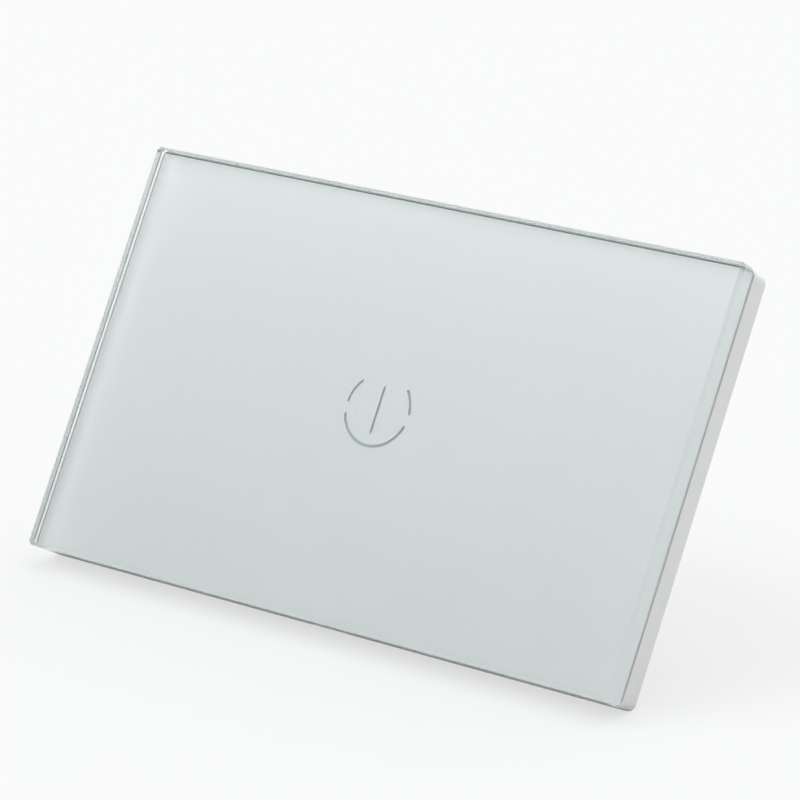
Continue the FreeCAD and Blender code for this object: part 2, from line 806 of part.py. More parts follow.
def touch_spring():
    """Coil from the touch board to the back of the light guide's face, with straight ends."""
    front = guide_face_rear + spring_seat_gap
    rear = touch_board_front
    helix_rear = rear - spring_wire - spring_bend
    helix_front = front + spring_wire + spring_bend
    climb = (helix_front - helix_rear) / (2 * math.pi * spring_turns)

    def on_helix(turn):
        angle = 2 * math.pi * turn
        place = Vector(spring_radius * math.cos(angle), helix_rear + climb * angle,
                       sign_centre_z + spring_radius * math.sin(angle))
        way = Vector(-spring_radius * math.sin(angle), climb, spring_radius * math.cos(angle))
        return place, way.normalize()

    points = [on_helix(index / 2) for index in range(int(2 * spring_turns) + 1)]
    outward = Vector(0, -1, 0)
    first_place, first_way = points[0]
    last_place, last_way = points[-1]
    lead_in = first_place - first_way * spring_bend
    lead_in.y = rear - spring_wire
    lead_out = last_place + last_way * spring_bend
    lead_out.y = front + spring_wire
    edges = [Part.LineSegment(lead_in - outward * spring_wire, lead_in).toShape()]
    edges += biarc(lead_in, outward, first_place, first_way)
    for (low, low_way), (high, high_way) in zip(points, points[1:]):
        edges += biarc(low, low_way, high, high_way)
    edges += biarc(last_place, last_way, lead_out, outward)
    edges.append(Part.LineSegment(lead_out, lead_out + outward * spring_wire).toShape())
    path = Part.Wire(edges)
    start = lead_in - outward * spring_wire
    turns = [2 * math.pi * index / spring_wire_sides for index in range(spring_wire_sides + 1)]
    section = Part.makePolygon([start + Vector(math.cos(turn), 0, math.sin(turn)) * (spring_wire / 2)
                                for turn in turns])
    pipe = Part.BRepOffsetAPI.MakePipeShell(path)
    pipe.add(section)
    pipe.build()
    pipe.makeSolid()
    spring = pipe.shape()
    report_spring(path, spring)
    return spring


def report_spring(path, spring):
    samples = path.discretize(Number=400)
    step = path.Length / (len(samples) - 1)
    skip = int(math.pi * spring_radius / step)
    least = min((a - b).Length for index, a in enumerate(samples) for b in samples[index + skip:])
    section_area = spring_wire_sides / 2 * (spring_wire / 2) ** 2 * math.sin(2 * math.pi / spring_wire_sides)
    print("touch spring: least gap to itself %.2f mm, volume %.3f of section times length"
          % (least - spring_wire, spring.Volume / (section_area * path.Length)))


# Radio board and link between the boards
def wifi_board():
    rear = touch_board_rear + radio_thickness
    board = centred_block(radio_x, 0, radio_width, radio_height, touch_board_rear, rear)
    pads = []
    for index in range(radio_pads):
        z = -radio_height / 2 + radio_pad_offset + index * radio_pad_pitch
        for side in (-1, 1):
            pads.append(pin(radio_x + side * radio_width / 2, z, radio_pad_radius, touch_board_rear,
                            rear, radio_pad_sides))
    return board.cut(pads)


def wifi_shield():
    front = touch_board_rear + radio_thickness
    rear = front + shield_depth
    middle_z = -radio_height / 2 + shield_edge_gap + shield_height / 2
    outer = rounded_plate(shield_width, shield_height, shield_corner, front, rear, radio_x, middle_z)
    inner = rounded_plate(shield_width - 2 * shield_wall, shield_height - 2 * shield_wall,
                          shield_corner - shield_wall, front, rear - shield_wall, radio_x, middle_z)
    return outer.cut(inner)


def link_places():
    return [link_x + (index - (link_pins - 1) / 2) * link_pin_spacing for index in range(link_pins)]


def link_header():
    body = centred_block(link_x, link_z, link_pins * link_pin_spacing, link_body, touch_board_rear,
                         touch_board_rear + header_depth)
    pins = [centred_block(x, link_z, link_pin_side, link_pin_side, touch_board_rear,
                          power_board_front - link_pin_end_gap) for x in link_places()]
    return fused([body] + pins)


def link_socket():
    front = touch_board_rear + header_depth
    width = link_pins * link_pin_spacing
    side = link_pin_side + 2 * socket_hole_play
    body = centred_block(link_x, link_z, width, link_body, front, power_board_front)
    holes = [centred_block(x, link_z, side, side, front, power_board_front - socket_floor)
             for x in link_places()]
    return body.cut(holes)


# Power board and its parts
def pair_of_leads(x, z, spacing):
    return [(x - spacing / 2, z), (x + spacing / 2, z)]


def relay_lead_places():
    left = relay_x - relay_width / 2 + relay_pin_inset
    reach = relay_height / 2 - relay_pin_inset
    return [(left, relay_z - reach), (left, relay_z + reach),
            (left + relay_pin_spacing, relay_z - reach)]


def transformer_lead_places():
    reach = transformer_reach - lead_radius
    return [(transformer_x + (index - (bobbin_pins - 1) / 2) * bobbin_pin_pitch,
             transformer_z + side * reach)
            for index in range(bobbin_pins) for side in (-1, 1)]


def lead_places():
    places = relay_lead_places() + transformer_lead_places()
    places.append((relay_contact_x, relay_z))
    for x, z in ((middle_x, large_can_z), (middle_x, small_can_z), (fuse_x, fuse_z),
                 (varistor_x, varistor_z), (choke_x, choke_z)):
        places += pair_of_leads(x, z, lead_spacing)
    places += [(x, terminal_leg_z) for x in terminal_places()]
    return places


def leads(places, top):
    return [pin(x, z, lead_radius, power_board_front - lead_tail, top) for x, z in places]


def power_board():
    board = rounded_plate(power_board_width, power_board_height, board_corner,
                          power_board_front, power_board_rear)
    cuts = [rod(x, z, tunnel_radius + board_notch_play, power_board_front, power_board_rear)
            for x, z in corners(tunnel_x, tunnel_z)]
    cuts += [pin(x, z, lead_radius + lead_play, power_board_front, power_board_rear)
             for x, z in lead_places()]
    return board.cut(cuts)


def relay_block(low_x, high_x, front, rear, width):
    return block(low_x, high_x, front, rear, relay_z - width / 2, relay_z + width / 2)


def relay_base():
    width = relay_width - 2 * (relay_wall + relay_fit)
    height = relay_height - 2 * (relay_wall + relay_fit)
    plate = rounded_plate(width, height, relay_fit, power_board_rear + relay_foot, relay_base_rear,
                          relay_x, relay_z)
    feet = [pin(relay_x + x, relay_z + z, relay_post, power_board_rear, relay_base_rear, peg_sides)
            for x, z in corners(width / 2 - relay_pin_inset, height / 2 - relay_post)]
    pins = leads(relay_lead_places(), relay_base_rear)
    slot = relay_block(relay_contact_x - relay_contact_radius - relay_fit,
                       relay_contact_x + relay_contact_radius + relay_fit,
                       power_board_rear, relay_base_rear, relay_post + 2 * relay_fit)
    return fused([plate] + feet + pins).cut(slot)


def relay_cover():
    front = power_board_rear + relay_foot
    outer = rounded_plate(relay_width, relay_height, relay_corner, front, relay_rear, relay_x, relay_z)
    inner = rounded_plate(relay_width - 2 * relay_wall, relay_height - 2 * relay_wall, relay_fit,
                          front, relay_rear - relay_wall, relay_x, relay_z)
    return outer.cut(inner)


def relay_bobbin():
    spool = [rod(relay_coil_x, relay_z, relay_core_radius + relay_spool_wall, relay_coil_front,
                 relay_coil_rear)]
    for front in (relay_coil_front, relay_coil_rear - relay_flange):
        spool.append(centred_block(relay_coil_x, relay_z, 2 * relay_coil_radius, 2 * relay_coil_radius,
                                   front, front + relay_flange))
    return fused(spool).cut(rod(relay_coil_x, relay_z, relay_core_radius + relay_fit,
                                relay_coil_front, relay_coil_rear))


def relay_winding():
    front = relay_coil_front + relay_flange
    rear = relay_coil_rear - relay_flange
    outer = rod(relay_coil_x, relay_z, relay_coil_radius - relay_coil_gap, front, rear)
    return outer.cut(rod(relay_coil_x, relay_z, relay_core_radius + relay_spool_wall, front, rear))


def relay_core():
    stem = rod(relay_coil_x, relay_z, relay_core_radius, relay_base_rear + relay_iron, relay_coil_rear)
    head = rod(relay_coil_x, relay_z, relay_core_radius + relay_core_head, relay_coil_rear, relay_core_rear)
    return fused([stem, head])


def relay_yoke():
    foot = relay_block(yoke_outer_x, relay_coil_x + relay_coil_radius, relay_base_rear,
                       relay_base_rear + relay_iron, relay_armature_width)
    leg = relay_block(yoke_outer_x, yoke_inner_x, relay_base_rear, armature_front - relay_fit,
                      relay_armature_width)
    return fused([foot, leg])


def relay_fixed_contact():
    rivet = round_head(relay_contact_x, relay_z, relay_contact_radius,
                       fixed_contact_rear - relay_contact_height, fixed_contact_rear)
    post = relay_block(relay_contact_x - relay_contact_radius, relay_contact_x + relay_contact_radius,
                       power_board_rear + relay_foot, fixed_contact_rear - relay_contact_height,
                       relay_post)
    lead = leads([(relay_contact_x, relay_z)], power_board_rear + relay_foot)
    return fused([rivet, post] + lead)


def relay_armature():
    return relay_block(yoke_outer_x, armature_end_x, armature_front, armature_rear, relay_armature_width)


def relay_contact_spring():
    blade = relay_block(relay_coil_x, relay_contact_x + relay_contact_radius, armature_rear,
                        armature_rear + relay_blade, relay_blade_width)
    rivet = round_head(relay_contact_x, relay_z, relay_contact_radius,
                       armature_rear - relay_contact_height, armature_rear)
    return fused([blade, rivet])


def transformer_parts():
    """Ferrite core, its bobbin and the winding, about a middle leg along X."""
    low = power_board_rear + bobbin_foot
    middle_y = low + core_height / 2
    half = core_length / 2
    inner = half - core_yoke

    def around(half_x, half_y, half_z):
        return block(transformer_x - half_x, transformer_x + half_x, middle_y - half_y,
                     middle_y + half_y, transformer_z - half_z, transformer_z + half_z)

    ring = around(half, core_height / 2, core_depth / 2)
    hole = around(inner, core_height / 2 - core_outer_leg, core_depth / 2)
    leg = around(inner, core_middle_leg / 2, core_depth / 2)
    core = fused([ring.cut(hole), leg])
    leg_y = core_middle_leg / 2 + bobbin_play
    leg_z = core_depth / 2 + bobbin_play
    reach = inner - bobbin_play
    tube = around(reach, leg_y + bobbin_wall, leg_z + bobbin_wall)
    flanges = []
    for side in (-1, 1):
        flange = around(bobbin_flange / 2, leg_y + bobbin_wall + winding_depth,
                        leg_z + bobbin_wall + winding_depth)
        flange.translate(Vector(side * (reach - bobbin_flange / 2), 0, 0))
        flanges.append(flange)
    bore = around(reach, leg_y, leg_z)
    foot_z = leg_z + bobbin_wall + winding_depth
    foot = block(transformer_x - half, transformer_x + half, power_board_rear,
                 low - bobbin_play, transformer_z - foot_z, transformer_z + foot_z)
    walls = []
    for side in (-1, 1):
        for end in (-1, 1):
            near, far = sorted((transformer_z + end * leg_z, transformer_z + end * foot_z))
            middle_x = transformer_x + side * (reach - bobbin_flange / 2)
            walls.append(block(middle_x - bobbin_flange / 2, middle_x + bobbin_flange / 2,
                               power_board_rear, middle_y, near, far))
    bobbin = fused([tube, foot] + flanges + walls + leads(transformer_lead_places(), low - bobbin_play))
    bobbin = bobbin.cut([bore])
    coil_half = reach - bobbin_flange
    depth = winding_depth - 0.2
    outer = around(coil_half, leg_y + bobbin_wall + depth, leg_z + bobbin_wall + depth)
    long_edges = [edge for edge in outer.Edges if abs(edge.Vertexes[0].X - edge.Vertexes[-1].X) > 1]
    outer = outer.makeFillet(depth * 0.8, long_edges)
    winding = outer.cut(around(coil_half, leg_y + bobbin_wall, leg_z + bobbin_wall))
    return core, bobbin, winding


def capacitor(z, radius, height):
    """Can with a rolled groove near its foot and a scored vent on its end."""
    front = power_board_rear + part_lift
    rear = front + height
    groove = front + can_groove_start
    profile = [(0, front), (radius, front), (radius, groove), (radius - can_groove, groove + can_groove),
               (radius, groove + 2 * can_groove), (radius, rear - can_edge), (radius - can_edge, rear),
               (0, rear)]
    points = [Vector(middle_x + r, y, z) for r, y in profile]
    can = Part.Face(Part.makePolygon(points + points[:1]))
    can = can.revolve(Vector(middle_x, 0, z), into_wall, 360)
    can = can.cut([centred_block(middle_x, z, radius, can_score, rear - can_score, rear),
                   centred_block(middle_x, z, can_score, radius, rear - can_score, rear)])
    return fused([can] + leads(pair_of_leads(middle_x, z, lead_spacing), front))


def fuse():
    front = power_board_rear + part_lift
    rear = front + fuse_height
    body = rod(fuse_x, fuse_z, fuse_radius, front, rear)
    body = body.makeChamfer(can_edge, edges_at_level(body, rear))
    return fused([body] + leads(pair_of_leads(fuse_x, fuse_z, lead_spacing), front))


def varistor():
    """Coated disc that stands on its two leads."""
    middle_y = power_board_rear + varistor_lift + varistor_radius
    half = varistor_thickness / 2
    disc = Part.makeCylinder(varistor_radius, varistor_thickness,
                             Vector(varistor_x, middle_y, varistor_z - half), Vector(0, 0, 1))
    disc = disc.makeChamfer(varistor_edge, [edge for edge in disc.Edges if len(edge.Vertexes) == 1])
    return fused([disc] + leads(pair_of_leads(varistor_x, varistor_z, lead_spacing), middle_y))


def choke_parts():
    """Spool-shaped core on its leads, and the wire round its waist."""
    front = power_board_rear + part_lift
    rear = front + choke_height
    waist = rod(choke_x, choke_z, choke_waist, front, rear)
    spool = fused([waist, rod(choke_x, choke_z, choke_radius, front, front + choke_flange),
                   rod(choke_x, choke_z, choke_radius, rear - choke_flange, rear)])
    core = fused([spool] + leads(pair_of_leads(choke_x, choke_z, lead_spacing), front))
    wire = rod(choke_x, choke_z, choke_radius - can_edge, front + choke_flange, rear - choke_flange)
    return core, wire.cut(waist)


def bridge_rectifier():
    chip = flat_chip(rectifier_x, rectifier_z, rectifier_width, rectifier_height,
                     rectifier_depth, rectifier_legs)
    return seated(chip, power_board_rear)


def regulator_chip():
    chip = flat_chip(regulator_x, regulator_z, regulator_width, regulator_height,
                     regulator_depth, regulator_legs)
    return seated(chip, power_board_rear)


# Terminal block
def terminal_places():
    return [(index - (terminal_count - 1) / 2) * terminal_pitch for index in range(terminal_count)]


def terminal_half_width():
    return terminal_pitch * terminal_count / 2 + terminal_side_wall


def terminal_block():
    half = terminal_half_width()
    body = block(-half, half, power_board_rear, terminal_rear, terminal_bottom, terminal_top)
    leg_rear = terminal_leg_z + contact_thickness / 2 + seat_play
    cuts = []
    for x in terminal_places():
        cuts.append(centred_block(x, clamp_z, clamp_width + 2 * clamp_play, clamp_depth + 2 * clamp_play,
                                  clamp_front - clamp_play, terminal_ledge_front))
        cuts.append(round_head(x, clamp_z, terminal_screw_radius + clamp_play, terminal_ledge_front,
                               terminal_head_front))
        cuts.append(round_head(x, clamp_z, terminal_screw_head_radius + terminal_head_play,
                               terminal_head_front, terminal_rear))
        cuts.append(block(x - wire_entry / 2, x + wire_entry / 2, contact_front - wire_entry,
                          contact_front, terminal_bottom, clamp_z))
        leg_half = contact_width / 2 + seat_play
        cuts.append(block(x - leg_half, x + leg_half, power_board_rear,
                          contact_front + contact_thickness + seat_play, clamp_z, leg_rear))
    return body.cut(cuts)


def terminal_contact(x):
    """Bar through the clamp that the wire is pressed on, with its leg down to the board."""
    low_z = clamp_z - clamp_depth / 2
    high_z = terminal_leg_z + contact_thickness / 2
    foot = power_board_rear + seat_play
    bar = block(x - contact_width / 2, x + contact_width / 2, contact_front,
                contact_front + contact_thickness, low_z, high_z)
    leg = block(x - contact_width / 2, x + contact_width / 2, foot, contact_front,
                high_z - contact_thickness, high_z)
    return fused([bar, leg] + leads([(x, terminal_leg_z)], foot))


def terminal_cage(x):
    """Open clamp cage; its roof is threaded for the screw."""
    rear = clamp_front + clamp_height
    outer = centred_block(x, clamp_z, clamp_width, clamp_depth, clamp_front, rear)
    window = centred_block(x, clamp_z, clamp_width - 2 * clamp_wall, clamp_depth,
                           clamp_front + clamp_floor, rear - clamp_roof)
    hole = round_head(x, clamp_z, terminal_screw_radius + thread_play, rear - clamp_roof, rear)
    return outer.cut([window, hole])


def terminal_screw(x):
    seat = terminal_head_front + seat_play
    rear = seat + terminal_screw_head
    tip = contact_front + contact_thickness + seat_play
    shank = pin(x, clamp_z, terminal_screw_radius, tip, seat, small_screw_sides)
    head = round_head(x, clamp_z, terminal_screw_head_radius, seat, rear)
    head = head.makeChamfer(screw_edge_cut, edges_at_level(head, rear))
    recess = cross_recess(x, clamp_z, terminal_screw_head_radius, rear, -terminal_screw_head)
    return fused([shank, head]).cut(recess)


def all_parts():
    core, bobbin, winding = transformer_parts()
    choke_core, choke_winding = choke_parts()
    parts = {
        "glass_panel": glass_panel(),
        "icon_film": icon_film(),
        "adhesive_tape": adhesive_tape(),
        "front_frame": front_frame(),
        "base_frame": base_frame(),
        "mounting_strap": mounting_strap(),
        "strap_screws": strap_screws(),
        "rear_housing": rear_housing(),
        "housing_screws": housing_screws(),
        "touch_board": touch_board(),
        "board_screws": board_screws(),
        "touch_chip": touch_chip(),
        "touch_spring": touch_spring(),
        "indicator_leds": indicator_leds(),
        "light_guide": light_guide(),
        "wifi_board": wifi_board(),
        "wifi_shield": wifi_shield(),
        "link_header": link_header(),
        "link_socket": link_socket(),
        "power_board": power_board(),
        "relay_base": relay_base(),
        "relay_cover": relay_cover(),
        "relay_bobbin": relay_bobbin(),
        "relay_winding": relay_winding(),
        "relay_core": relay_core(),
        "relay_yoke": relay_yoke(),
        "relay_fixed_contact": relay_fixed_contact(),
        "relay_armature": relay_armature(),
        "relay_contact_spring": relay_contact_spring(),
        "transformer_core": core,
        "transformer_bobbin": bobbin,
        "transformer_winding": winding,
        "fuse": fuse(),
        "varistor": varistor(),
        "choke_core": choke_core,
        "choke_winding": choke_winding,
        "bridge_rectifier": bridge_rectifier(),
        "regulator_chip": regulator_chip(),
        "capacitor_1": capacitor(large_can_z, large_can_radius, large_can_height),
        "capacitor_2": capacitor(small_can_z, small_can_radius, small_can_height),
        "terminal_block": terminal_block(),
    }
    for index, x in enumerate(terminal_places()):
        parts["terminal_contact_%d" % (index + 1)] = terminal_contact(x)
        parts["terminal_cage_%d" % (index + 1)] = terminal_cage(x)
        parts["terminal_screw_%d" % (index + 1)] = terminal_screw(x)
    return parts


os.makedirs("parts", exist_ok=True)
for name, shape in all_parts().items():
    shape.exportStep("parts/" + name + ".step")
    if not shape.isValid():
        print("not valid:", name)
print("parts written")
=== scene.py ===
import bpy
import json
import math
from mathutils import Matrix, Vector


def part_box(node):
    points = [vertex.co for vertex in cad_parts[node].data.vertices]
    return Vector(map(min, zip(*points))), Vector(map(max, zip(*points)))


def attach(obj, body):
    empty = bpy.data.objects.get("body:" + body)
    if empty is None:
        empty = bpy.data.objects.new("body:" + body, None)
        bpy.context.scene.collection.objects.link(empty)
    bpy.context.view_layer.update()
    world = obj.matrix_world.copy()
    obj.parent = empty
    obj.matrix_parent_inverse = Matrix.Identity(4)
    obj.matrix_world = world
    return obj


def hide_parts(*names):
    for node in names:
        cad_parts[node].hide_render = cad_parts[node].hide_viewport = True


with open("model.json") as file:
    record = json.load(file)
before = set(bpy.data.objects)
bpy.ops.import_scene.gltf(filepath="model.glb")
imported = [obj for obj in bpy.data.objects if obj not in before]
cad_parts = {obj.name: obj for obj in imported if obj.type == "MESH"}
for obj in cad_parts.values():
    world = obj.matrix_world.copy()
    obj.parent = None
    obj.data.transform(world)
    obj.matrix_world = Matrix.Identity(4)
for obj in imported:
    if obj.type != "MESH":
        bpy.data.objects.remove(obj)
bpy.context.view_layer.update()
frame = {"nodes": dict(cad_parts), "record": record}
nodes = frame["nodes"]
record = frame["record"]
print("frame loaded:", len(nodes), "nodes")

# The switch stands on its bottom edge and leans back on its housing
stand = {"lean": 30.7}
lean = math.radians(stand["lean"])
floorUp = Vector((0, -math.sin(lean), math.cos(lean)))
floorAhead = Vector((0, math.cos(lean), math.sin(lean)))
floorRight = Vector((1, 0, 0))
floorLevel = min(floorUp.dot(v.co) for o in nodes.values() for v in o.data.vertices)

white = (1.0, 1.0, 1.0, 1.0)


# Node helpers
def addNode(tree, kind, values=None, **settings):
    made = tree.nodes.new("ShaderNode" + kind)
    for name, value in settings.items():
        setattr(made, name, value)
    for socket, value in (values or {}).items():
        made.inputs[socket].default_value = value
    return made


def link(tree, source, target):
    tree.links.new(source, target)


def feed(tree, value, socket):
    # links another node's output, or sets a plain value
    if isinstance(value, bpy.types.NodeSocket):
        link(tree, value, socket)
    elif isinstance(value, tuple) and socket.type == "RGBA" and len(value) == 3:
        socket.default_value = (*value, 1)
    elif value is not None:
        socket.default_value = value


def mathNode(tree, operation, *values, clamp=False):
    made = addNode(tree, "Math", operation=operation, use_clamp=clamp)
    for value, socket in zip(values, made.inputs):
        feed(tree, value, socket)
    return made.outputs[0]


def vectorNode(tree, operation, *values):
    made = addNode(tree, "VectorMath", operation=operation)
    for value, socket in zip(values, made.inputs):
        feed(tree, value, socket)
    return made.outputs["Value" if operation == "DOT_PRODUCT" else "Vector"]


def splitAxes(tree, vector):
    made = addNode(tree, "SeparateXYZ")
    link(tree, vector, made.inputs[0])
    return made.outputs


def spread(tree, value, fromLow, fromHigh, toLow, toHigh, smooth=False):
    made = addNode(tree, "MapRange", interpolation_type="SMOOTHSTEP" if smooth else "LINEAR")
    link(tree, value, made.inputs["Value"])
    limits = {"From Min": fromLow, "From Max": fromHigh, "To Min": toLow, "To Max": toHigh}
    for name, amount in limits.items():
        feed(tree, amount, made.inputs[name])
    return made.outputs["Result"]


def mixColor(tree, factor, first, second, blend="MIX"):
    made = addNode(tree, "Mix", data_type="RGBA", blend_type=blend)
    for socket, value in ((0, factor), (6, first), (7, second)):
        feed(tree, value, made.inputs[socket])
    return made.outputs[2]


def mixShader(tree, share, first, second):
    made = addNode(tree, "MixShader")
    for value, socket in zip((share, first, second), made.inputs):
        link(tree, value, socket)
    return made.outputs["Shader"]


def grayColor(tree, value):
    made = addNode(tree, "CombineColor")
    for socket in made.inputs:
        link(tree, value, socket)
    return made.outputs[0]


def noise(tree, place, scale, detail, roughness=0.5):
    made = addNode(tree, "TexNoise", {"Detail": detail, "Roughness": roughness})
    link(tree, place, made.inputs["Vector"])
    feed(tree, scale, made.inputs["Scale"])
    return made.outputs[0]


def cells(tree, place, scale, randomness, feature):
    made = addNode(tree, "TexVoronoi", {"Randomness": randomness}, feature=feature)
    link(tree, place, made.inputs["Vector"])
    feed(tree, scale, made.inputs["Scale"])
    return made.outputs["Distance"]


def newGroup(name, ins, outs):
    group = bpy.data.node_groups.new(name, "ShaderNodeTree")
    for title, value in ins.items():
        kind = "Float" if isinstance(value, float) else "Color" if len(value) == 4 else "Vector"
        socket = group.interface.new_socket(title, in_out="INPUT", socket_type="NodeSocket" + kind)
        socket.default_value = value
    for title, kind in outs.items():
        group.interface.new_socket(title, in_out="OUTPUT", socket_type="NodeSocket" + kind)
    return group, group.nodes.new("NodeGroupInput").outputs, group.nodes.new("NodeGroupOutput").inputs


def variedRoughness(group, given, value):
    # the given roughness, moved up and down by a noise around its middle
    shift = mathNode(group, "MULTIPLY", mathNode(group, "SUBTRACT", value, 0.5), given["Roughness Spread"])
    return mathNode(group, "ADD", given["Roughness"], shift, clamp=True)


# Moulded or painted surface: a fine grain, with a slow drift of tone
mouldTexture = {"grainDetail": 3.0, "grainRoughness": 0.55, "grainRange": (0.2, 0.8),
                "driftScale": 45.0, "driftDetail": 2.0, "driftRange": (0.3, 0.7), "glossSpread": 0.12}


def makeMouldGrain():
    ins = {"Color": white, "Grain Scale": 4000.0, "Tone Spread": 0.03, "Roughness": 0.5,
           "Roughness Spread": 0.1}
    outs = {"Color": "Color", "Roughness": "Float", "Height": "Float"}
    group, given, result = newGroup("mouldGrain", ins, outs)
    place = addNode(group, "TexCoord").outputs["Object"]
    grain = noise(group, place, given["Grain Scale"], mouldTexture["grainDetail"],
                  mouldTexture["grainRoughness"])
    drift = noise(group, place, mouldTexture["driftScale"], mouldTexture["driftDetail"])
    low = mathNode(group, "SUBTRACT", 1.0, given["Tone Spread"])
    high = mathNode(group, "ADD", 1.0, given["Tone Spread"])
    tone = spread(group, drift, *mouldTexture["driftRange"], low, high)
    speck = spread(group, grain, *mouldTexture["grainRange"], low, high)
    shade = grayColor(group, mathNode(group, "MULTIPLY", tone, speck))
    link(group, mixColor(group, 1.0, given["Color"], shade, "MULTIPLY"), result["Color"])
    link(group, variedRoughness(group, given, drift), result["Roughness"])
    link(group, grain, result["Height"])
    return group


# Rolled or drawn metal: long fine lines one way, and the cloudy bloom of its plating
brushedTexture = {"lineDetail": 4.0, "lineRoughness": 0.7, "lineRange": (0.3, 0.7), "lineShade": (0.93, 1.04),
                  "bloomScale": 260.0, "bloomRange": (0.1, 0.7), "cloudScale": 90.0, "cloudDetail": 3.0,
                  "cloudRange": (0.35, 0.65), "cloudShare": (0.2, 1.0), "glossSpread": 0.25}


def makeBrushedLines():
    ins = {"Color": white, "Bloom Color": white, "Stretch": (1.0, 30.0, 30.0), "Line Scale": 300.0,
           "Roughness": 0.3, "Roughness Spread": 0.2}
    outs = {"Color": "Color", "Roughness": "Float", "Height": "Float"}
    group, given, result = newGroup("brushedLines", ins, outs)
    place = addNode(group, "TexCoord").outputs["Object"]
    stretched = vectorNode(group, "MULTIPLY", place, given["Stretch"])
    lines = noise(group, stretched, given["Line Scale"], brushedTexture["lineDetail"],
                  brushedTexture["lineRoughness"])
    bloom = cells(group, place, brushedTexture["bloomScale"], 1.0, "SMOOTH_F1")
    cloud = noise(group, place, brushedTexture["cloudScale"], brushedTexture["cloudDetail"])
    bloomed = spread(group, bloom, *brushedTexture["bloomRange"], 0.0, 1.0)
    clouded = spread(group, cloud, *brushedTexture["cloudRange"], *brushedTexture["cloudShare"])
    patch = mathNode(group, "MULTIPLY", bloomed, clouded)
    color = mixColor(group, patch, given["Color"], given["Bloom Color"])
    shade = grayColor(group, spread(group, lines, *brushedTexture["lineRange"], *brushedTexture["lineShade"]))
    link(group, mixColor(group, 1.0, color, shade, "MULTIPLY"), result["Color"])
    link(group, variedRoughness(group, given, lines), result["Roughness"])
    link(group, lines, result["Height"])
    return group


# Turns of wire or tape side by side along an axis, each round, with painted shade darkening its sides and the
# grooves between turns
woundTexture = {"wanderScale": 700.0, "wanderDetail": 1.0, "crownRange": (0.15, 0.75)}


def makeWoundTurns():
    ins = {"Color": white, "Groove Shade Color": white, "Axis": (0.0, 1.0, 0.0), "Turns per Metre": 4000.0,
           "Slack": 0.15}
    group, given, result = newGroup("woundTurns", ins, {"Color": "Color", "Height": "Float"})
    place = addNode(group, "TexCoord").outputs["Object"]
    along = vectorNode(group, "DOT_PRODUCT", place, given["Axis"])
    wander = noise(group, place, woundTexture["wanderScale"], woundTexture["wanderDetail"])
    turns = mathNode(group, "MULTIPLY", along, given["Turns per Metre"])
    loose = mathNode(group, "ADD", turns, mathNode(group, "MULTIPLY", wander, given["Slack"]))
    across = mathNode(group, "PINGPONG", loose, 0.5)
    crown = mathNode(group, "SQRT", mathNode(group, "MULTIPLY", across, 2.0))
    lit = spread(group, crown, *woundTexture["crownRange"], 0.0, 1.0, smooth=True)
    # painted shade: each turn's colour goes to the darker groove colour towards its sides
    link(group, mixColor(group, lit, given["Groove Shade Color"], given["Color"]), result["Color"])
    link(group, crown, result["Height"])
    return group


# Copper areas and tracks under the solder mask of a board, with small round vias
circuitTexture = {"areaRandomness": 0.75, "gapRange": (0.03, 0.06), "viaScale": 1.7, "viaRandomness": 0.8,
                  "viaRange": (0.09, 0.12), "trackHeight": 0.00002}


def makeCircuitTracks():
    ins = {"Mask Color": white, "Track Color": white, "Via Color": white, "Track Scale": 220.0}
    outs = {"Color": "Color", "Height": "Float", "Metal": "Float"}
    group, given, result = newGroup("circuitTracks", ins, outs)
    place = addNode(group, "TexCoord").outputs["Object"]
    areas = cells(group, place, given["Track Scale"], circuitTexture["areaRandomness"], "DISTANCE_TO_EDGE")
    gap = spread(group, areas, *circuitTexture["gapRange"], 0.0, 1.0)
    viaScale = mathNode(group, "MULTIPLY", given["Track Scale"], circuitTexture["viaScale"])
    holes = cells(group, place, viaScale, circuitTexture["viaRandomness"], "F1")
    via = spread(group, holes, *circuitTexture["viaRange"], 1.0, 0.0)
    masked = mixColor(group, gap, given["Mask Color"], given["Track Color"])
    link(group, mixColor(group, via, masked, given["Via Color"]), result["Color"])
    link(group, gap, result["Height"])
    link(group, via, result["Metal"])
    return group


mouldGrain = makeMouldGrain()
brushedLines = makeBrushedLines()
woundTurns = makeWoundTurns()
circuitTracks = makeCircuitTracks()
print("shared effects made")


# Materials
def newMaterial(name, roughness=0.5, metallic=0.0, **sockets):
    material = bpy.data.materials.new(name)
    material.use_nodes = True
    tree = material.node_tree
    tree.nodes.clear()
    out = tree.nodes.new("ShaderNodeOutputMaterial")
    shader = addNode(tree, "BsdfPrincipled", {"Roughness": roughness, "Metallic": metallic})
    for socket, value in sockets.items():
        shader.inputs[socket.replace("_", " ")].default_value = value
    link(tree, shader.outputs["BSDF"], out.inputs["Surface"])
    return material, tree, shader


def useGroup(tree, group, values):
    made = tree.nodes.new("ShaderNodeGroup")
    made.node_tree = group
    for socket, value in values.items():
        feed(tree, value, made.inputs[socket])
    return made.outputs


def applyEffect(tree, shader, effect, depth=None):
    for output, socket in (("Color", "Base Color"), ("Roughness", "Roughness"), ("Metal", "Metallic")):
        if output in effect:
            link(tree, effect[output], shader.inputs[socket])
    if depth:
        bump = addNode(tree, "Bump", {"Strength": 1.0, "Distance": depth})
        link(tree, effect["Height"], bump.inputs["Height"])
        link(tree, bump.outputs["Normal"], shader.inputs["Normal"])


def moulded(name, color, roughness=0.5, grain=4000.0, tone=0.02, depth=0.000004, **sockets):
    material, tree, shader = newMaterial(name, **sockets)
    values = {"Color": color, "Grain Scale": grain, "Tone Spread": tone, "Roughness": roughness,
              "Roughness Spread": mouldTexture["glossSpread"]}
    applyEffect(tree, shader, useGroup(tree, mouldGrain, values), depth)
    return material


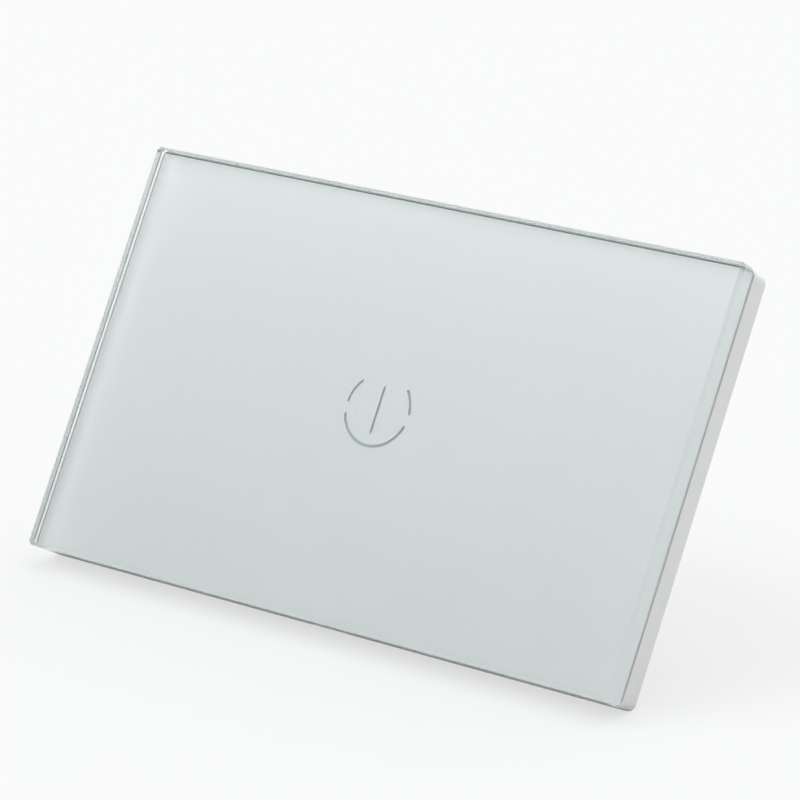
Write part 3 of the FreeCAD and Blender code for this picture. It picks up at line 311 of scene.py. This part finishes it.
def plated(name, color, bloom, roughness=0.32, stretch=(1.0, 30.0, 30.0), lines=300.0, depth=0.000002):
    material, tree, shader = newMaterial(name, metallic=1.0)
    values = {"Color": color, "Bloom Color": bloom, "Stretch": stretch, "Line Scale": lines,
              "Roughness": roughness, "Roughness Spread": brushedTexture["glossSpread"]}
    applyEffect(tree, shader, useGroup(tree, brushedLines, values), depth)
    return material


def wound(name, color, grooveShade, axis, turns, slack, depth, **sockets):
    material, tree, shader = newMaterial(name, **sockets)
    values = {"Color": color, "Groove Shade Color": grooveShade, "Axis": axis, "Turns per Metre": turns,
              "Slack": slack}
    applyEffect(tree, shader, useGroup(tree, woundTurns, values), depth)
    return material


def circuit(name, mask, track, via, scale, roughness):
    material, tree, shader = newMaterial(name, roughness)
    values = {"Mask Color": mask, "Track Color": track, "Via Color": via, "Track Scale": scale}
    applyEffect(tree, shader, useGroup(tree, circuitTracks, values), circuitTexture["trackHeight"])
    return material


# White print on the film, which stops short of the film's edge; the strip outside the print is dark grey,
# painted shade for the shadowed gap behind the glass's edge
film = {"print": (0.95, 0.945, 0.94), "bareEdgeShade": (0.14, 0.138, 0.132), "sideMargin": 0.00015,
        "topMargin": 0.0003, "grain": 900.0, "tone": 0.006, "roughness": 0.6}


def withinPrint(tree, place):
    # 1 where a point lies over the print
    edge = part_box("icon_film")[1]
    axes = splitAxes(tree, vectorNode(tree, "ABSOLUTE", place))
    inX = mathNode(tree, "LESS_THAN", axes["X"], edge.x - film["sideMargin"])
    inZ = mathNode(tree, "LESS_THAN", axes["Z"], edge.z - film["topMargin"])
    return mathNode(tree, "MULTIPLY", inX, inZ)


def printedFilm():
    material, tree, shader = newMaterial("whiteFilm")
    place = addNode(tree, "TexCoord").outputs["Object"]
    # painted shade: outside the print a dark grey strip, wider along the top and bottom than along the sides
    color = mixColor(tree, withinPrint(tree, place), film["bareEdgeShade"], film["print"])
    values = {"Color": color, "Grain Scale": film["grain"], "Tone Spread": film["tone"],
              "Roughness": film["roughness"], "Roughness Spread": mouldTexture["glossSpread"]}
    applyEffect(tree, shader, useGroup(tree, mouldGrain, values))
    return material


# Float glass, a little green through its depth, polished but for the arrises ground along its edges
glass = {"ior": 1.5, "tint": (0.35, 0.90, 0.85), "density": 11.0, "wipeScale": 60.0, "wipeDetail": 4.0,
         "wipeRange": (0.45, 0.75), "wipe": 0.006, "contactDepth": 0.00001, "arrisTurn": 0.707,
         "arrisSlack": 0.25, "arris": 0.35}


def filmContact(tree, place):
    # 1 on the rear face of the glass where the print touches it, with no air between
    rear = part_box("glass_panel")[1].y - glass["contactDepth"]
    atRear = mathNode(tree, "GREATER_THAN", splitAxes(tree, place)["Y"], rear)
    return mathNode(tree, "MULTIPLY", withinPrint(tree, place), atRear)


def groundArris(tree, way):
    # 1 on the narrow faces that lie between the front or rear face and the sides
    turn = mathNode(tree, "ABSOLUTE", splitAxes(tree, way)["Y"])
    return mathNode(tree, "COMPARE", turn, glass["arrisTurn"], glass["arrisSlack"])


def clearGlass():
    material, tree, shader = newMaterial("clearGlass", 0.0, Transmission_Weight=1.0, IOR=glass["ior"])
    shader.inputs["Base Color"].default_value = white
    coords = addNode(tree, "TexCoord")
    place = coords.outputs["Object"]
    wipe = noise(tree, place, glass["wipeScale"], glass["wipeDetail"])
    polish = spread(tree, wipe, *glass["wipeRange"], 0.0, glass["wipe"])
    ground = mathNode(tree, "MULTIPLY", groundArris(tree, coords.outputs["Normal"]), glass["arris"])
    link(tree, mathNode(tree, "ADD", polish, ground), shader.inputs["Roughness"])
    clear = addNode(tree, "BsdfTransparent")
    surface = mixShader(tree, filmContact(tree, place), shader.outputs["BSDF"], clear.outputs["BSDF"])
    depth = addNode(tree, "VolumeAbsorption", {"Density": glass["density"], "Color": (*glass["tint"], 1)})
    out = tree.nodes["Material Output"]
    link(tree, surface, out.inputs["Surface"])
    link(tree, depth.outputs["Volume"], out.inputs["Volume"])
    return material


# Dark sleeve of a capacitor, with a bare scored end and one pale stripe
canSleeve = {"sleeve": (0.03, 0.035, 0.06), "stripe": (0.55, 0.57, 0.60), "metal": (0.75, 0.75, 0.74),
             "endReach": 0.0006, "stripeFrom": 0.9, "grain": 900.0, "tone": 0.04, "roughness": 0.3}


def sleevedCan(name, node):
    material, tree, shader = newMaterial("sleeve" + name)
    coords = addNode(tree, "TexCoord")
    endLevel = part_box(node)[1].y - canSleeve["endReach"]
    end = mathNode(tree, "GREATER_THAN", splitAxes(tree, coords.outputs["Object"])["Y"], endLevel)
    way = splitAxes(tree, coords.outputs["Normal"])
    stripe = mathNode(tree, "GREATER_THAN", way["X"], canSleeve["stripeFrom"])
    side = mixColor(tree, stripe, canSleeve["sleeve"], canSleeve["stripe"])
    color = mixColor(tree, end, side, canSleeve["metal"])
    values = {"Grain Scale": canSleeve["grain"], "Tone Spread": canSleeve["tone"],
              "Roughness": canSleeve["roughness"]}
    grain = useGroup(tree, mouldGrain, values)
    link(tree, mixColor(tree, 1.0, color, grain["Color"], "MULTIPLY"), shader.inputs["Base Color"])
    link(tree, end, shader.inputs["Metallic"])
    link(tree, grain["Roughness"], shader.inputs["Roughness"])
    return material


# The finish of each slot of the record
finishes = {
    "clear_glass": clearGlass(),
    "white_film": printedFilm(),
    "foam_tape": moulded("foamTape", (0.55, 0.53, 0.50), 0.85, grain=2500.0, tone=0.06, depth=0.00004),
    "frame_plastic": moulded("framePlastic", (0.70, 0.70, 0.69), 0.55, tone=0.012),
    "base_plastic": moulded("basePlastic", (0.78, 0.78, 0.77), 0.55, tone=0.015, depth=0.000006),
    "housing_plastic": moulded("housingPlastic", (0.80, 0.80, 0.79), 0.6, grain=3000.0, tone=0.015,
                               depth=0.00001),
    "strap_steel": plated("strapSteel", (0.60, 0.61, 0.62), (0.70, 0.69, 0.64)),
    "screw_steel": plated("screwSteel", (0.66, 0.65, 0.62), (0.74, 0.70, 0.58), 0.25,
                          stretch=(20.0, 2.0, 20.0), lines=400.0),
    "spring_steel": plated("springSteel", (0.72, 0.70, 0.66), (0.78, 0.76, 0.72), 0.15,
                           stretch=(20.0, 20.0, 20.0), lines=200.0),
    "shield_metal": plated("shieldMetal", (0.70, 0.70, 0.68), (0.76, 0.76, 0.74), 0.35,
                           stretch=(2.0, 2.0, 30.0), lines=260.0),
    "relay_iron": plated("relayIron", (0.58, 0.58, 0.58), (0.64, 0.63, 0.60), 0.4,
                         stretch=(20.0, 2.0, 20.0)),
    "contact_metal": plated("contactMetal", (0.78, 0.58, 0.28), (0.82, 0.66, 0.38), 0.28,
                            stretch=(20.0, 2.0, 20.0)),
    "touch_circuit": circuit("touchCircuit", (0.80, 0.81, 0.80), (0.86, 0.87, 0.86), (0.75, 0.73, 0.66),
                             scale=160.0, roughness=0.35),
    "green_circuit": circuit("greenCircuit", (0.015, 0.14, 0.06), (0.03, 0.22, 0.09), (0.72, 0.70, 0.62),
                             scale=220.0, roughness=0.3),
    "chip_black": moulded("chipBlack", (0.018, 0.018, 0.02), 0.62, grain=6000.0, tone=0.08, depth=0.00001),
    "lamp_lens": moulded("lampLens", (0.86, 0.84, 0.70), 0.2, grain=1500.0, Coat_Weight=0.6),
    "frosted_plastic": moulded("frostedPlastic", (0.86, 0.87, 0.86), 0.45, grain=5000.0, tone=0.01,
                               Subsurface_Weight=0.2, Subsurface_Scale=0.001),
    "connector_plastic": moulded("connectorPlastic", (0.02, 0.02, 0.02), grain=3500.0, tone=0.1),
    "relay_plastic": moulded("relayPlastic", (0.03, 0.16, 0.50), 0.3, grain=2500.0, tone=0.04,
                             Coat_Weight=0.3),
    # the second, darker colour of copperWire and yellowTape is painted shade in the grooves between turns
    "copper_wire": wound("copperWire", (0.55, 0.20, 0.07), (0.12, 0.035, 0.015), axis=(0.0, 1.0, 0.0),
                         turns=3600.0, slack=0.2, depth=0.00006, roughness=0.25, metallic=0.9),
    "yellow_tape": wound("yellowTape", (0.82, 0.60, 0.06), (0.62, 0.42, 0.03), axis=(1.0, 0.0, 0.0),
                         turns=230.0, slack=0.1, depth=0.00003, roughness=0.22, Coat_Weight=0.4),
    "ferrite": moulded("ferrite", (0.03, 0.03, 0.032), grain=2500.0, tone=0.15, depth=0.00002),
    "bobbin_plastic": moulded("bobbinPlastic", (0.025, 0.025, 0.025), 0.45, grain=3000.0, tone=0.1),
    "fuse_brown": moulded("fuseBrown", (0.16, 0.07, 0.04), 0.35, grain=1800.0, tone=0.08, depth=0.00001),
    "varistor_blue": moulded("varistorBlue", (0.04, 0.16, 0.40), 0.25, grain=700.0, tone=0.08,
                             depth=0.00006),
    "terminal_plastic": moulded("terminalPlastic", (0.05, 0.25, 0.12), 0.4, grain=3000.0, tone=0.05),
}


def dress(node, material):
    mesh = nodes[node].data
    mesh.materials.clear()
    mesh.materials.append(material)


for part in record["subparts"]:
    node = part["node"]
    if part["material_slot"] == "can_sleeve":
        dress(node, sleevedCan(node[-1], node))
    else:
        dress(node, finishes[part["material_slot"]])
print("materials made")

# The frame with the tighter round that the photograph shows on its rear edge, and the draft of its sides
frameEdge = {"solidRound": 0.0012, "shownRound": 0.0004, "corner": 0.0013, "slack": 0.00002,
             "draft": 0.00013, "frontReach": 0.0003}


def makeFrontFrame():
    mesh = nodes["front_frame"].data.copy()
    low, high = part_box("front_frame")
    solid, shown, corner = frameEdge["solidRound"], frameEdge["shownRound"], frameEdge["corner"]
    slack = frameEdge["slack"]
    coreX, coreZ = high.x - corner, high.z - corner
    for vertex in mesh.vertices:
        place = vertex.co
        held = Vector((max(-coreX, min(coreX, place.x)), place.y, max(-coreZ, min(coreZ, place.z))))
        outward = place - held
        # the side's front edge goes outwards
        if place.y < low.y + frameEdge["frontReach"] and abs(corner - outward.length) < slack:
            vertex.co = held + outward * (1 + frameEdge["draft"] / corner)
            continue
        # each point of the rear round keeps its angle on the smaller round
        rise = (place.y - high.y + solid) / solid
        if rise <= 0 or outward.length < slack:
            continue
        angle = math.asin(min(1.0, rise))
        inset = 1 - math.cos(angle)
        if abs(corner - outward.length - solid * inset) > slack:
            continue
        moved = held + outward.normalized() * (corner - shown * inset)
        moved.y = high.y - shown * (1 - math.sin(angle))
        vertex.co = moved
    look = bpy.data.objects.new("frontFrame", mesh)
    bpy.context.scene.collection.objects.link(look)
    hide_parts("front_frame")
    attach(look, "front_panel")


makeFrontFrame()
print("front frame made")

# Floor and light of a plain white room, brighter overhead, with a soft light in front and one behind
studio = {"floorSize": 6.0, "floorGap": 0.00005, "floorColor": (0.655, 0.66, 0.665), "floorWhite": 0.68,
          "backdrop": 0.945, "tint": (0.99, 1.0, 1.005), "overhead": 0.81, "horizon": 0.64,
          "domeRange": (-0.1, 1.0)}
softLights = [
    {"turn": -55.0, "rise": 50.0, "power": 3.2, "full": 10.0, "edge": 27.0},
    {"turn": 175.0, "rise": 60.0, "power": 2.5, "full": 14.0, "edge": 36.0},
]


def around(turn, rise, distance=1.0):
    turn, rise = math.radians(turn), math.radians(rise)
    ahead = floorRight * math.sin(turn) - floorAhead * math.cos(turn)
    return (ahead * math.cos(rise) + floorUp * math.sin(rise)) * distance


def makeFloor():
    mesh = bpy.data.meshes.new("floor")
    half = studio["floorSize"] / 2
    middle = floorUp * (floorLevel - studio["floorGap"])
    corners = [middle + floorRight * a * half + floorAhead * b * half
               for a, b in ((-1, -1), (1, -1), (1, 1), (-1, 1))]
    mesh.from_pydata(corners, [], [(0, 1, 2, 3)])
    floor = bpy.data.objects.new("floor", mesh)
    bpy.context.scene.collection.objects.link(floor)
    material = bpy.data.materials.new("floorWhite")
    material.use_nodes = True
    tree = material.node_tree
    tree.nodes.clear()
    out = tree.nodes.new("ShaderNodeOutputMaterial")
    top = addNode(tree, "BsdfDiffuse", {"Color": (*studio["floorColor"], 1)})
    glow = addNode(tree, "Emission", {"Color": white, "Strength": studio["backdrop"]})
    clear = addNode(tree, "BsdfTransparent")
    # the camera sees the backdrop's white in it, and the object's shadow
    path = addNode(tree, "LightPath").outputs["Is Camera Ray"]
    share = mathNode(tree, "MULTIPLY", path, studio["floorWhite"])
    seen = mixShader(tree, share, top.outputs["BSDF"], glow.outputs["Emission"])
    # and nothing of it from below
    under = addNode(tree, "NewGeometry").outputs["Backfacing"]
    link(tree, mixShader(tree, under, seen, clear.outputs["BSDF"]), out.inputs["Surface"])
    mesh.materials.append(material)


def makeWorld():
    world = bpy.data.worlds.new("studio")
    world.use_nodes = True
    tree = world.node_tree
    tree.nodes.clear()
    out = tree.nodes.new("ShaderNodeOutputWorld")
    direction = addNode(tree, "TexCoord").outputs["Generated"]
    up = vectorNode(tree, "DOT_PRODUCT", direction, floorUp)
    total = spread(tree, up, *studio["domeRange"], studio["horizon"], studio["overhead"], smooth=True)
    for soft in softLights:
        towards = vectorNode(tree, "DOT_PRODUCT", direction, around(soft["turn"], soft["rise"]))
        outer, inner = (math.cos(math.radians(soft[a])) for a in ("edge", "full"))
        glow = spread(tree, towards, outer, inner, 0.0, soft["power"], smooth=True)
        total = mathNode(tree, "ADD", total, glow)
    light = addNode(tree, "Background", {"Color": (*studio["tint"], 1)})
    link(tree, total, light.inputs["Strength"])
    backdrop = addNode(tree, "Background", {"Color": white, "Strength": studio["backdrop"]})
    path = addNode(tree, "LightPath").outputs["Is Camera Ray"]
    seen = mixShader(tree, path, light.outputs["Background"], backdrop.outputs["Background"])
    link(tree, seen, out.inputs["Surface"])
    bpy.context.scene.world = world


camera = {"target": (0.0051, -0.00887, 0.0025), "turn": 36.23, "rise": 18.56, "distance": 0.6548,
          "lens": 182.3, "sensor": 36, "near": 0.01, "far": 20}


def makeCamera():
    data = bpy.data.cameras.new("camera")
    data.lens = camera["lens"]
    data.sensor_width = camera["sensor"]
    data.clip_start = camera["near"]
    data.clip_end = camera["far"]
    view = bpy.data.objects.new("camera", data)
    bpy.context.scene.collection.objects.link(view)
    target = Vector(camera["target"])
    place = target + around(camera["turn"], camera["rise"], camera["distance"])
    back = (place - target).normalized()
    right = floorUp.cross(back).normalized()
    turn = Matrix((right, back.cross(right), back)).transposed()
    view.matrix_world = Matrix.Translation(place) @ turn.to_4x4()
    bpy.context.scene.camera = view


bpy.context.scene.view_settings.view_transform = "Standard"
makeFloor()
makeWorld()
makeCamera()
print("floor, light and camera made")
